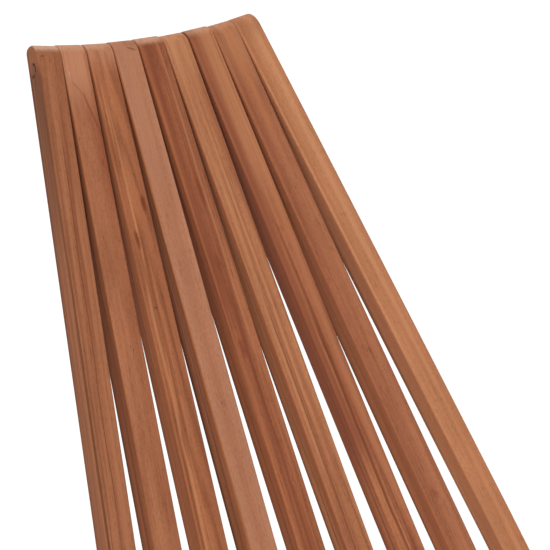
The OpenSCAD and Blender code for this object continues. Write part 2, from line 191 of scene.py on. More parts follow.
def split(tree, place):
    """The three parts of a place or direction."""
    return put(tree, "SeparateXYZ", {0: place}).outputs


def join(tree, x, y, z):
    return put(tree, "CombineXYZ", {0: x, 1: y, 2: z}).outputs[0]


def ramp(tree, value, low, high):
    """0 below low and 1 above high, with a soft step between."""
    return put(
        tree, "MapRange",
        {"Value": value, "From Min": low, "From Max": high},
        interpolation_type="SMOOTHSTEP",
    ).outputs["Result"]


def cloud(tree, place, across, along, detail, output="Fac"):
    """Noise drawn out along the grain, with so many waves to the metre each way."""
    drawn = vector_calc(tree, "MULTIPLY", place, (across, along, across))
    return put(
        tree, "TexNoise",
        {"Vector": drawn, "Scale": 1.0, "Detail": detail, "Roughness": 0.55},
    ).outputs[output]


def dye(tree, share, under, over):
    return put(tree, "Mix", {0: share, 6: under, 7: over}, data_type="RGBA").outputs[2]


def seeded(tree, grain, seed):
    """The grain place moved to another part of the tree."""
    moved = join(tree, *(times(tree, seed, way) for way in (0.613, 1.371, 0.237)))
    return vector_calc(tree, "ADD", grain, moved)


# Timber: growth rings round a heart beside the stick, wide bands, streaks, pores and wear
timber, given, made = effect(
    "timber",
    [("Grain", "Vector"), ("Seed", "Float"), ("Pale", "Color"), ("Middle", "Color"),
     ("Dark", "Color"), ("Rings", "Float"), ("Ring Width", "Float"), ("Heart", "Vector"),
     ("Slope", "Float"), ("Streaks", "Float"), ("Edge", "Float")],
    [("Color", "Color"), ("Roughness", "Float"), ("Height", "Float")],
)
spot = seeded(timber, given["Grain"], given["Seed"])
wander = cloud(timber, spot, 6, 1.6, 2, "Color")
wander = vector_calc(timber, "SUBTRACT", wander, (0.5, 0.5, 0.5))
wander = put(timber, "VectorMath", {0: wander, "Scale": 0.016}, operation="SCALE").outputs[0]
wandered = vector_calc(timber, "ADD", given["Grain"], wander)
parts = split(timber, vector_calc(timber, "SUBTRACT", wandered, given["Heart"]))
round_heart = calc(timber, "SQRT", plus(
    timber, calc(timber, "POWER", parts[0], 2.0), calc(timber, "POWER", parts[2], 2.0)
))
round_heart = plus(timber, round_heart, times(timber, parts[1], given["Slope"]))
ring_count = calc(timber, "DIVIDE", round_heart, given["Ring Width"])
ring_count = plus(timber, ring_count, times(timber, cloud(timber, spot, 70, 1.2, 2), 1.4))
ring_wave = calc(timber, "SINE", times(timber, ring_count, 2 * math.pi))
ring_wave = plus(timber, times(timber, ring_wave, 0.5), 0.5)
ring_line = calc(timber, "POWER", ring_wave, 2.4)
bands = ramp(timber, cloud(timber, spot, 62, 1.0, 2), 0.36, 0.64)
streaks = ramp(timber, cloud(timber, spot, 330, 5.0, 3), 0.46, 0.74)
hairs = cloud(timber, spot, 1100, 26, 2)
grit = cloud(timber, spot, 900, 330, 2)
pores = ramp(timber, cloud(timber, spot, 1500, 110, 1), 0.62, 0.72)
mottle = cloud(timber, spot, 34, 11, 2)
paint = dye(timber, bands, given["Pale"], given["Middle"])
paint = dye(timber, times(timber, ring_line, given["Rings"]), paint, given["Dark"])
paint = dye(timber, times(timber, streaks, given["Streaks"]), paint, given["Dark"])
light = plus(timber, 0.87, times(timber, mottle, 0.26))
light = plus(timber, light, times(timber, minus(timber, hairs, 0.5), 0.40))
light = plus(timber, light, times(timber, minus(timber, grit, 0.5), 0.45))
light = minus(timber, light, times(timber, pores, 0.26))
light = plus(timber, light, times(timber, given["Edge"], 0.05))
shaded = put(timber, "VectorMath", {0: paint, "Scale": light}, operation="SCALE").outputs[0]
timber.links.new(shaded, made["Color"])
rough = plus(timber, 0.36, times(timber, hairs, 0.14))
rough = plus(timber, rough, times(timber, pores, 0.18))
rough = plus(timber, rough, times(timber, mottle, 0.08))
timber.links.new(rough, made["Roughness"])
height = minus(timber, times(timber, hairs, 0.5), times(timber, pores, 0.8))
height = minus(timber, height, times(timber, streaks, 0.25))
timber.links.new(height, made["Height"])

# Stripe: one darker or paler band at a place across the stick, for a run of grain, and also for
# painted shade and painted highlight
stripe, given, made = effect(
    "stripe",
    [("Grain", "Vector"), ("Seed", "Float"), ("Across", "Float"), ("Half Width", "Float"),
     ("Drift", "Float"), ("Waver", "Float"), ("From", "Float"), ("To", "Float"),
     ("Fade", "Float")],
    [("Mask", "Float")],
)
spot = seeded(stripe, given["Grain"], given["Seed"])
parts = split(stripe, given["Grain"])
middle = plus(stripe, given["Across"], times(stripe, parts[1], given["Drift"]))
lean = minus(stripe, cloud(stripe, spot, 4, 9, 2), 0.5)
middle = plus(stripe, middle, times(stripe, lean, given["Waver"]))
away = calc(stripe, "ABSOLUTE", minus(stripe, parts[0], middle))
away = calc(stripe, "DIVIDE", away, given["Half Width"])
core = minus(stripe, 1.0, ramp(stripe, away, 0.25, 1.0))
broken = ramp(stripe, cloud(stripe, spot, 260, 4, 2), 0.30, 0.55)
broken = plus(stripe, 0.35, times(stripe, broken, 0.65))
begun = calc(stripe, "DIVIDE", minus(stripe, parts[1], given["From"]), given["Fade"])
begun = ramp(stripe, begun, -1.0, 1.0)
ended = calc(stripe, "DIVIDE", minus(stripe, parts[1], given["To"]), given["Fade"])
ended = ramp(stripe, ended, -1.0, 1.0)
run = times(stripe, begun, minus(stripe, 1.0, ended))
stripe.links.new(times(stripe, times(stripe, core, broken), run), made["Mask"])

# Knot: a small dark oval where a twig grew, or a fleck of dark grain
knot, given, made = effect(
    "knot",
    [("Grain", "Vector"), ("Seed", "Float"), ("Across", "Float"), ("Along", "Float"),
     ("Size", "Float"), ("Length", "Float")],
    [("Mask", "Float")],
)
spot = seeded(knot, given["Grain"], given["Seed"])
parts = split(knot, given["Grain"])
off_x = calc(knot, "DIVIDE", minus(knot, parts[0], given["Across"]), given["Size"])
off_y = calc(knot, "DIVIDE", minus(knot, parts[1], given["Along"]), given["Length"])
away = calc(knot, "SQRT", plus(knot, times(knot, off_x, off_x), times(knot, off_y, off_y)))
away = plus(knot, away, times(knot, cloud(knot, spot, 420, 160, 2), 0.8))
knot.links.new(minus(knot, 1.0, ramp(knot, away, 0.55, 1.4)), made["Mask"])


def place_effect(tree, group, values):
    """The group, placed in a material with that material's own values."""
    return put(tree, "Group", values, node_tree=group).outputs


def wood_finish(name, seed, pale, middle, dark, rings, ring_width, heart, slope, streaks,
                marks=(), grain=None, painted_end_highlight=0.4):
    """Oiled wood in three tones. rings and streaks are how strong they are, heart and slope say
    how the rings lie, marks are the knots and stripes that this piece shows, some of them painted
    shade and painted highlight, grain gives a CAD solid its grain, and the last value is how
    strongly a round end is painted paler, as a painted highlight."""
    finish, tree = blank_material(name)
    if grain is None:
        grain = put(tree, "Attribute", attribute_name="grain").outputs["Vector"]
        # Worn edges, painted shade on plug rims, and the painted highlight on round ends
        wear_and_painted_light = put(tree, "Attribute", attribute_name="wear_and_painted_light").outputs["Vector"]
        edge, rim_shade, end = split(tree, wear_and_painted_light)
    else:
        grain, edge, rim_shade, end = grain(tree), 0.0, None, None
    wood = place_effect(tree, timber, {
        "Grain": grain, "Seed": seed, "Pale": tone(*pale), "Middle": tone(*middle),
        "Dark": tone(*dark), "Rings": rings, "Ring Width": ring_width, "Heart": heart,
        "Slope": slope, "Streaks": streaks, "Edge": edge,
    })
    paint = wood["Color"]
    for number, (group, on_side, colour, share, values) in enumerate(marks):
        on = grain
        if on_side:
            parts = split(tree, grain)
            on = join(tree, parts[2], parts[1], parts[0])
        mask = place_effect(tree, group, {"Grain": on, "Seed": seed + number + 1, **values})["Mask"]
        paint = dye(tree, times(tree, mask, share), paint, tone(*colour))
    if rim_shade:
        uneven = ramp(tree, cloud(tree, grain, 130, 130, 2), 0.34, 0.50)
        # Painted shade: a broken dark ring on a plug's rim, where it goes down into the gap round
        # the plug
        paint = dye(tree, times(tree, rim_shade, uneven), paint, tone(62, 34, 24))
        # Painted highlight: the round end is painted paler where it turns up towards the light
        paint = dye(tree, times(tree, end, painted_end_highlight), paint, tone(212, 176, 150))
    rise = put(tree, "Bump", {"Height": wood["Height"], "Strength": 0.35, "Distance": 0.0006})
    shader = put(tree, "BsdfPrincipled", {
        "Base Color": paint, "Roughness": wood["Roughness"], "Normal": rise.outputs[0],
        "Specular IOR Level": 0.012,
    })
    put(tree, "OutputMaterial", {"Surface": shader.outputs[0]})
    return finish


pivot = Vector((0, -0.0186583, 0.270))
back_slope = 49.2
back_plane = Matrix.Translation(pivot) @ Matrix.Rotation(math.radians(back_slope), 4, "X")
stick_width = 0.025
ease = 0.0015
nose = 0.017
heel = 0.0055
bend_reach = 0.024
leg_relief = 0.0004


def clamp(value):
    return min(1.0, max(0.0, value))


def stick_side(depth, top, low, bend):
    """A stick seen from its side, top face at +: points round it, each with the way out of
    the wood there, the middle point that it lies opposite to, and the place along the stick.
    The top end is cut square, with a broad round in front and an eased edge behind.
    A bent stick is left open below the floor."""
    leg_rows, bend_rows, nose_rows, heel_rows, stub_rows = 12, 8, 12, 6, 16
    row_gap = 0.03
    half = depth / 2
    middle = []
    if bend:
        radius = bend_reach / math.tan(bend / 2)
        for k in range(leg_rows + 1):
            t = low + (-bend_reach - low) * k / leg_rows
            middle.append((t * math.cos(bend), -t * math.sin(bend), bend, t))
        for k in range(1, bend_rows):
            a = bend * (1 - k / bend_rows)
            middle.append((
                bend_reach - radius * math.sin(a), radius * (1 - math.cos(a)), a,
                bend_reach * (2 * k / bend_rows - 1),
            ))
        start = bend_reach
    else:
        start = low + half
    shoulder = top - nose
    count = max(6, round((shoulder - start) / row_gap))
    for k in range(count + 1):
        y = start + (shoulder - start) * k / count
        middle.append((y, 0.0, 0.0, y))
    side = []
    for y, z, a, s in middle:
        out = (math.sin(a), math.cos(a))
        side.append((y + half * out[0], z + half * out[1], out, y, z, s))
    for k in range(1, nose_rows + 1):
        a = math.pi / 2 * (1 - k / nose_rows)
        out = (math.cos(a), math.sin(a))
        side.append((
            shoulder + nose * out[0], half - nose + nose * out[1], out, shoulder, 0.0,
            shoulder + nose * out[0],
        ))
    side.append((top, (heel - nose) / 2, (1.0, 0.0), shoulder, 0.0, top))
    for k in range(heel_rows + 1):
        a = -math.pi / 2 * k / heel_rows
        out = (math.cos(a), math.sin(a))
        side.append((
            top - heel + heel * out[0], heel - half + heel * out[1], out, shoulder, 0.0,
            top - heel + heel * out[0],
        ))
    for y, z, a, s in reversed(middle):
        out = (-math.sin(a), -math.cos(a))
        side.append((y + half * out[0], z + half * out[1], out, y, z, s))
    if not bend:
        for k in range(1, stub_rows):
            a = -math.pi / 2 - math.pi * k / stub_rows
            out = (math.cos(a), math.sin(a))
            side.append((start + half * out[0], half * out[1], out, start, 0.0, start))
    return side


def along_and_deep(y, z, bend):
    """Place along a stick and off its middle line, following the bend."""
    if not bend:
        return y, z
    way = 1 if bend > 0 else -1
    z, bend = z * way, abs(bend)
    radius = bend_reach / math.tan(bend / 2)
    a = math.atan2(bend_reach - y, radius - z)
    if a <= 0:
        return y, z * way
    if a >= bend:
        return (
            y * math.cos(bend) - z * math.sin(bend),
            (y * math.sin(bend) + z * math.cos(bend)) * way,
        )
    return (
        bend_reach - 2 * bend_reach * a / bend,
        (radius - math.hypot(bend_reach - y, radius - z)) * way,
    )


def inside_by(s, off, half, top, low, bend):
    """How far a point lies inside the stick's outline, seen from the side."""
    inside = half - abs(off)
    if s > top - nose and off > half - nose:
        inside = nose - math.hypot(s - top + nose, off - half + nose)
    if not bend and s < low + half:
        inside = half - math.hypot(off, low + half - s)
    return min(inside, top - s)


def shape_stick(name, place, width, depth, top, low, bend=0.0, up=1, stray=None, holes=()):
    """One stick as a mesh. up is -1 where its top face is at -Z. stray gives how far its left
    and right faces, and then its back, lie to the right, and holes are (from, to, radius)."""
    stray = stray or (lambda s: (0.0, 0.0, 0.0))
    half = depth / 2
    relief_over = 0.04
    glide_top, sole_ease = 0.003, 0.0009
    flat = ease + 0.0012
    profile = [(0.0, flat, 1.0), (0.0, flat, 0.4), (0.0, flat, 0.0)]
    profile += [
        (ease * (1 - math.cos(a)), ease * (1 - math.sin(a)), 0.0)
        for a in (math.radians(d) for d in (0, 22.5, 45, 67.5, 90))
    ]
    profile += [(flat, 0.0, 0.0), (width * 0.3, 0.0, 0.0)]
    across = [(-1, *point) for point in profile] + [(1, *point) for point in reversed(profile)]
    shape = bmesh.new()
    rows = []
    for y, z, out, mid_y, mid_z, s in stick_side(depth, top, low, bend):
        thin = leg_relief * clamp(0.5 - s / relief_over) if bend else 0.0
        row = []
        for side, x, inset, to_middle in across:
            at_y, at_z = y - out[0] * (inset + thin), z - out[1] * (inset + thin)
            at_y += (mid_y - at_y) * to_middle
            at_z += (mid_z - at_z) * to_middle
            left, right, behind = stray(s + (min(s, top - nose) - s) * to_middle)
            lean = behind * (half - along_and_deep(at_y, at_z, bend)[1]) / depth
            row.append(shape.verts.new((
                side * (width / 2 - thin - x) + lean + (right if side > 0 else left),
                at_y, up * at_z,
            )))
        rows.append(row)
    if not bend:
        rows.append(rows[0])
    for one, other in zip(rows, rows[1:]):
        for k in range(len(across) - 1):
            shape.faces.new((one[k], one[k + 1], other[k + 1], other[k]))
    bmesh.ops.remove_doubles(shape, verts=shape.verts, dist=2e-6)
    bmesh.ops.transform(shape, matrix=place, verts=shape.verts)
    if bend:
        bmesh.ops.bisect_plane(
            shape, geom=shape.verts[:] + shape.edges[:] + shape.faces[:],
            plane_co=(0, 0, glide_top), plane_no=(0, 0, 1), clear_inner=True,
        )
        rim = [e for e in shape.edges if e.is_boundary]
        sole = bmesh.ops.edgeloop_fill(shape, edges=rim)["faces"]
        bmesh.ops.bevel(
            shape, geom=list({e for f in sole for e in f.edges}), offset=sole_ease,
            segments=2, profile=0.5, affect="EDGES",
        )
    bmesh.ops.recalc_face_normals(shape, faces=shape.faces)
    stick = add_mesh(name, shape)
    if holes:
        bore(stick, holes)
    mark_grain(stick, place, width, half, top, low, bend, up, stray)
    return stick


def bore(piece, holes):
    """Drills round holes from one point to another, in the row frame."""
    tools = bmesh.new()
    for start, end, radius in holes:
        start, end = Vector(start), Vector(end)
        turned = (end - start).to_track_quat("Z", "Y").to_matrix().to_4x4()
        bmesh.ops.create_cone(
            tools, cap_ends=True, segments=48, radius1=radius, radius2=radius,
            depth=(end - start).length,
            matrix=Matrix.Translation((start + end) / 2) @ turned,
        )
    drill = add_mesh("drill", tools)
    cut = piece.modifiers.new("bore", "BOOLEAN")
    cut.operation, cut.solver, cut.object = "DIFFERENCE", "EXACT", drill
    seen = piece.evaluated_get(bpy.context.evaluated_depsgraph_get())
    bored = bpy.data.meshes.new_from_object(seen)
    piece.modifiers.clear()
    piece.data = bored
    bpy.data.objects.remove(drill)


def smooth(piece):
    """Shades a piece smooth, but keeps its sharp edges."""
    piece.data.polygons.foreach_set("use_smooth", [True] * len(piece.data.polygons))
    piece.data.set_sharp_from_angle(angle=math.radians(38))


def mark_grain(piece, place, width, half, top, low, bend, up, stray):
    """Writes where each point lies in the wood, its worn edges, and the round end that is painted
    paler as a painted highlight.
    """
    pale_end, pale_fade, skin = 0.0115, 0.0045, 0.0012
    back = place.inverted()
    lie = piece.data.attributes.new("grain", "FLOAT_VECTOR", "POINT")
    wear_and_painted_light = piece.data.attributes.new("wear_and_painted_light", "FLOAT_VECTOR", "POINT")
    for k, vertex in enumerate(piece.data.vertices):
        x, y, z = back @ vertex.co
        s, off = along_and_deep(y, up * z, bend)
        left, right, behind = stray(s)
        x -= (left + right) / 2 + behind * (half - off) / (2 * half)
        lie.data[k].vector = (x, s, off)
        from_side = width / 2 + (right - left) / 2 - abs(x)
        under_skin = inside_by(s, off, half, top, low, bend)
        edge = 1 - clamp((max(from_side, under_skin) - ease * 0.7) / (ease * 0.5))
        # The round end, past the start of its curve, is marked for a painted highlight
        end = clamp((s - top + pale_end) / pale_fade) * (1 - clamp(under_skin / skin))
        wear_and_painted_light.data[k].vector = (edge, 0.0, end)
    smooth(piece)


back_step = math.radians(2.41)
top_pitch = 0.0252
back_length = 0.732
set_back = 0.0015
apex_above = top_pitch / back_step
apex = back_length + apex_above


def back_across(n):
    """Where back stick n crosses the pivot rod."""
    return apex * math.tan((n - 5) * back_step)


def back_place(n):
    return (
        back_plane
        @ Matrix.Translation((back_across(n), 0, -set_back if n % 2 == 0 else 0))
        @ Matrix.Rotation((n - 5) * back_step, 4, "Z")
    )


# How far each stick strays to the right of the true fan, in mm: its left and right faces at
# the top end, 0.40 m up and 0.22 m up, then its back, and last how much longer it is.
# The sticks meet the fan again at the pivot rod.
back_stray = {
    1: ((0.8, 0.0), (0.3, 2.4), (0.0, 3.4), 0.7, 0.9),
    2: ((0.0, 0.0), (0.3, 1.0), (0.4, 1.8), -0.9, 2.3),
    3: ((0.0, 0.0), (-1.3, -0.5), (-2.0, -0.8), -0.4, 1.7),
    4: ((0.0, 0.0), (-1.7, 0.2), (-2.6, 0.8), 0.3, 2.8),
    5: ((0.0, 0.0), (-0.8, -0.4), (-1.2, -0.8), 0.0, 2.6),
    6: ((0.0, 0.0), (-0.6, -1.2), (-1.0, -1.2), -0.1, 2.0),
    7: ((0.0, 0.0), (0.0, -0.9), (0.0, -0.5), 1.0, 1.8),
    8: ((0.0, 0.0), (0.0, -0.8), (0.8, 1.0), -0.4, 1.2),
    9: ((-1.4, -3.1), (0.5, 0.2), (1.6, 1.6), 0.7, 0.9),
}


def stray_of(n):
    """A smooth curve through the three measured places, fading out towards the pivot."""
    at_top, at_middle, at_low, behind, _ = back_stray[n]
    top, middle, low = 0.73, 0.40, 0.22
    fade_from, fade_over = 0.05, 0.17

    def stray(s):
        t = max(s, low)
        top_share = (t - middle) * (t - low) / ((top - middle) * (top - low))
        middle_share = (t - top) * (t - low) / ((middle - top) * (middle - low))
        low_share = (t - top) * (t - middle) / ((low - top) * (low - middle))
        size = clamp((s - fade_from) / fade_over)
        size = size * size * (3 - 2 * size) * 0.001
        left, right = (
            size * (top_share * at_top[k] + middle_share * at_middle[k] + low_share * at_low[k])
            for k in (0, 1)
        )
        return left, right, size * behind

    return stray


# Each stick's pale, middle and dark tone, and then how strong its rings are, their width, where
# the heart of the tree lies, the slope of the grain and how strong its streaks are
back_tones = {
    1: ((168, 110, 78), (152, 96, 67), (116, 68, 46)),
    2: ((170, 111, 79), (158, 98, 69), (128, 73, 50)),
    3: ((174, 111, 76), (156, 96, 66), (122, 70, 47)),
    4: ((178, 123, 94), (169, 111, 83), (134, 82, 58)),
    5: ((170, 107, 74), (152, 91, 63), (118, 66, 46)),
    6: ((184, 124, 86), (166, 105, 74), (130, 76, 52)),
    7: ((182, 118, 82), (156, 93, 65), (114, 62, 44)),
    8: ((174, 112, 80), (160, 99, 71), (126, 73, 51)),
    9: ((192, 132, 94), (180, 118, 82), (150, 92, 62)),
}
back_rings = {
    1: (0.15, 0.0070, (0.03, 0, -0.05), 0.012, 0.48),
    2: (0.30, 0.0090, (0.00, 0, -0.02), 0.050, 0.24),
    3: (0.45, 0.0050, (-0.01, 0, -0.03), 0.030, 0.62),
    4: (0.10, 0.0120, (0.05, 0, -0.08), 0.015, 0.10),
    5: (0.40, 0.0060, (0.03, 0, -0.05), 0.010, 0.68),
    6: (0.35, 0.0070, (-0.04, 0, -0.03), 0.012, 0.46),
    7: (0.25, 0.0080, (-0.05, 0, -0.03), 0.012, 0.52),
    8: (0.15, 0.0100, (0.06, 0, -0.05), 0.020, 0.34),
    9: (0.15, 0.0090, (-0.06, 0, -0.04), 0.014, 0.15),
}


def stripe_at(colour, share, across, half_width, waver=0, start=-0.1, stop=0.9, fade=0.03, drift=0):
    """A stripe: its colour and strength, and where it lies across and along the stick."""
    return stripe, False, colour, share, {
        "Across": across, "Half Width": half_width, "Waver": waver,
        "From": start, "To": stop, "Fade": fade, "Drift": drift,
    }


def side_stripe_at(*place, **more):
    """A stripe on the side faces, which lies so far in front of the middle of the stick."""
    group, _, *rest = stripe_at(*place, **more)
    return group, True, *rest


def knot_at(colour, share, across, along, size, length):
    """A knot or fleck: its colour and strength, where it lies, and its size each way."""
    return knot, False, colour, share, {
        "Across": across, "Along": along, "Size": size, "Length": length,
    }


# Marks on each back stick. The stripe at -0.0136 is painted shade on the left side face, and the
# wide side stripe at -0.011 to -0.014 is painted shade on the back part of the side faces.
back_marks = {
    1: [
        # painted shade on the left side face
        stripe_at((132, 80, 54), 0.6, -0.0136, 0.0032),
        side_stripe_at((112, 70, 50), 0.5, 0.004, 0.002, waver=0.004),
        # painted shade on the back part of the side faces
        side_stripe_at((92, 54, 36), 0.5, -0.011, 0.006, waver=0.002),
        stripe_at((122, 70, 47), 0.5, -0.008, 0.0035, waver=0.002, start=0.3, stop=0.72),
        stripe_at((92, 58, 42), 0.75, -0.0114, 0.0018, waver=0.001, start=0.2, stop=0.725,
                  fade=0.01),
        stripe_at((112, 62, 42), 0.75, 0.0005, 0.0008, waver=0.004, stop=0.66),
        stripe_at((178, 118, 84), 0.5, 0.0065, 0.0045, waver=0.003, stop=0.6),
        stripe_at((112, 64, 44), 0.6, -0.0075, 0.0008, waver=0.003, stop=0.45),
        stripe_at((126, 68, 46), 0.5, 0.003, 0.0022, waver=0.006, start=0.46, stop=0.7, fade=0.04),
        stripe_at((130, 74, 50), 0.4, 0.0085, 0.0014, waver=0.004, start=0.38, stop=0.62,
                  fade=0.04),
        side_stripe_at((92, 54, 40), 0.85, 0, 0.007, waver=0.002, start=0.7205, stop=0.73,
                  fade=0.003),
        knot_at((46, 26, 20), 1.0, -0.007, 0.7358, 0.0024, 0.0009),
    ],
    2: [
        # painted shade on the left side face, then on the back part of the side faces
        stripe_at((138, 78, 44), 0.5, -0.0136, 0.0032),
        side_stripe_at((84, 42, 18), 0.6, -0.0128, 0.008, waver=0.002),
        side_stripe_at((96, 54, 36), 0.6, 0.002, 0.001, waver=0.004),
        stripe_at((192, 134, 102), 0.8, 0, 0.04, start=0.69),
        stripe_at((150, 92, 64), 0.4, 0.0115, 0.005, waver=0.001, start=0.6, stop=0.675),
        stripe_at((116, 66, 46), 0.45, 0.443, 0.0014, start=0.689, stop=0.703, fade=0.004,
                  drift=-0.64),
        stripe_at((112, 62, 42), 0.55, 0.1808, 0.0013, waver=0.001, start=0.635, stop=0.691,
                  fade=0.006, drift=-0.26),
        stripe_at((122, 68, 46), 0.55, 0.0105, 0.0009, waver=0.002, start=0.6, stop=0.66),
        stripe_at((146, 80, 54), 0.6, 0.0095, 0.003, waver=0.002, start=0.58, stop=0.65),
        knot_at((128, 66, 48), 0.7, 0.008, 0.624, 0.0016, 0.006),
        knot_at((204, 152, 122), 0.8, -0.0084, 0.711, 0.0006, 0.004),
    ],
    3: [
        # painted shade on the left side face, then on the back part of the side faces
        stripe_at((166, 102, 66), 0.5, -0.0136, 0.0032),
        side_stripe_at((92, 48, 22), 0.5, -0.014, 0.008, waver=0.002),
        side_stripe_at((108, 64, 42), 0.5, -0.001, 0.0012, waver=0.004),
        stripe_at((190, 132, 100), 0.75, 0, 0.04, start=0.713, fade=0.015),
        stripe_at((192, 130, 88), 0.6, -0.0078, 0.0012, waver=0.002, start=0.635, stop=0.69),
        stripe_at((194, 132, 92), 0.6, -0.0055, 0.0018, waver=0.004, start=0.52, stop=0.655),
        stripe_at((128, 72, 48), 0.6, -0.002, 0.0022, waver=0.006, start=0.36, stop=0.56),
        stripe_at((192, 130, 90), 0.55, -0.0082, 0.0024, waver=0.009, stop=0.5),
        stripe_at((128, 74, 50), 0.5, -0.004, 0.0008, waver=0.006, start=0, stop=0.5),
        knot_at((112, 54, 32), 0.8, 0.0072, 0.576, 0.003, 0.013),
        knot_at((112, 54, 32), 0.8, -0.0062, 0.5414, 0.003, 0.014),
        knot_at((104, 58, 38), 0.75, -0.004, 0.4762, 0.0034, 0.0018),
    ],
    4: [
        stripe_at((188, 131, 100), 0.5, 0, 0.04, start=0.6, fade=0.06),
        # painted shade on the left side face, then on the back part of the side faces
        stripe_at((138, 76, 38), 0.8, -0.0136, 0.0032),
        side_stripe_at((76, 34, 12), 0.8, -0.0118, 0.009, waver=0.002),
        side_stripe_at((84, 46, 28), 0.6, 0.0035, 0.0009, waver=0.004),
        stripe_at((146, 96, 72), 0.5, 0.006, 0.012, start=0.7235, fade=0.004),
        stripe_at((108, 66, 48), 0.75, 1.2943, 0.0024, start=0.7202, stop=0.7241, fade=0.0008,
                  drift=-1.784),
        stripe_at((162, 112, 90), 0.4, -0.006, 0.005, waver=0.003, start=0.6),
        knot_at((110, 64, 46), 0.8, -0.0012, 0.3777, 0.0011, 0.0024),
        knot_at((118, 72, 54), 0.6, 0.004, 0.325, 0.001, 0.0022),
        knot_at((118, 72, 54), 0.5, -0.006, 0.505, 0.0012, 0.0026),
    ],
    5: [
        # painted shade on the left side face, then on the back part of the side faces
        stripe_at((144, 80, 46), 0.5, -0.0136, 0.0032),
        side_stripe_at((84, 44, 20), 0.7, -0.013, 0.0075, waver=0.002),
        side_stripe_at((92, 50, 32), 0.6, 0.001, 0.0012, waver=0.004),
        side_stripe_at((158, 98, 66), 0.4, 0.006, 0.0016, waver=0.004),
        stripe_at((132, 74, 52), 0.75, -0.0075, 0.0078, waver=0.004, start=0.45),
        stripe_at((178, 118, 84), 0.6, 0.0052, 0.0018, waver=0.003, start=0.42),
        stripe_at((172, 106, 72), 0.45, -0.0085, 0.0014, waver=0.006, stop=0.46),
        stripe_at((120, 66, 46), 0.6, -0.001, 0.0022, waver=0.006, stop=0.48),
        stripe_at((174, 108, 76), 0.5, 0.0045, 0.0012, waver=0.004, stop=0.44),
        # painted highlight on the round top end
        stripe_at((184, 132, 104), 0.75, 0, 0.04, start=0.724, fade=0.003),
        knot_at((112, 56, 38), 0.5, 0.0012, 0.575, 0.0036, 0.026),
        knot_at((112, 56, 38), 0.4, -0.003, 0.505, 0.003, 0.018),
        knot_at((116, 62, 44), 0.6, -0.006, 0.424, 0.0045, 0.015),
    ],
    6: [
        # painted shade on the left side face, then on the back part of the side faces
        stripe_at((152, 90, 54), 0.5, -0.0136, 0.0032),
        side_stripe_at((86, 46, 22), 0.65, -0.0132, 0.007, waver=0.002),
        side_stripe_at((104, 60, 38), 0.5, 0, 0.0012, waver=0.004),
        stripe_at((194, 136, 98), 0.6, 0, 0.04, start=0.69),
        stripe_at((196, 138, 98), 0.5, -0.007, 0.0024, waver=0.003, start=0.3),
        stripe_at((194, 134, 96), 0.45, 0, 0.002, waver=0.003, start=0.35),
        stripe_at((128, 72, 48), 0.65, -0.005, 0.001, waver=0.006, stop=0.46),
        stripe_at((132, 74, 50), 0.5, -0.002, 0.0008, waver=0.006, stop=0.4),
        knot_at((204, 150, 118), 0.7, 0.005, 0.662, 0.0006, 0.0012),
    ],
    7: [
        # painted shade on the left side face, then on the back part of the side faces
        stripe_at((146, 80, 48), 0.5, -0.0136, 0.0032),
        side_stripe_at((88, 46, 22), 0.5, -0.0132, 0.007, waver=0.002),
        side_stripe_at((96, 52, 36), 0.5, 0.003, 0.0016, waver=0.004),
        stripe_at((182, 122, 86), 0.9, 0.006, 0.015, waver=0.002, start=0.58, fade=0.06),
        stripe_at((138, 80, 57), 0.9, -0.0098, 0.0086, waver=0.003, start=0.3),
        stripe_at((108, 56, 40), 0.75, -0.004, 0.0022, waver=0.006, stop=0.44),
        stripe_at((116, 62, 44), 0.6, 0.0005, 0.001, waver=0.006, stop=0.36),
        stripe_at((186, 124, 88), 0.5, 0.006, 0.005, waver=0.003, start=0.25, stop=0.62),
    ],
    8: [
        # painted shade on the left side face, then on the back part of the side faces
        stripe_at((162, 98, 62), 0.5, -0.0136, 0.0032),
        side_stripe_at((88, 46, 22), 0.65, -0.0136, 0.008, waver=0.002),
        side_stripe_at((100, 58, 38), 0.5, 0.001, 0.001, waver=0.004),
        stripe_at((188, 130, 92), 0.6, 0, 0.04, start=0.69),
        stripe_at((140, 82, 56), 0.45, -0.0085, 0.0035, waver=0.003, start=0.5),
        stripe_at((180, 114, 72), 0.5, 0.001, 0.004, waver=0.004, start=0.62),
        knot_at((128, 70, 48), 0.6, -0.0009, 0.4064, 0.0024, 0.005),
        knot_at((130, 74, 52), 0.5, -0.003, 0.2634, 0.0045, 0.009),
    ],
    9: [
        # painted shade on the left side face, then on the back part of the side faces
        stripe_at((168, 108, 76), 0.5, -0.0136, 0.0032),
        side_stripe_at((96, 60, 40), 0.6, -0.011, 0.007, waver=0.002),
        stripe_at((206, 146, 106), 0.4, 0.003, 0.004, waver=0.003, start=0.1),
        stripe_at((166, 102, 68), 0.4, -0.0085, 0.002, waver=0.003, start=0.45),
        stripe_at((158, 104, 76), 0.45, 0, 0.04, start=0.728, fade=0.008),
        knot_at((128, 78, 54), 0.6, 0.001, 0.35, 0.0008, 0.0024),
        knot_at((132, 82, 56), 0.5, 0.003, 0.305, 0.0008, 0.003),
    ],
}
# How strongly each back stick's round end is painted paler, as a painted highlight
back_end_highlight = {1: 0.62, 2: 0.24, 3: 0.25, 4: 0.0, 5: 0.3, 6: 0.04, 7: 0.26, 8: 0.1, 9: 0.0}

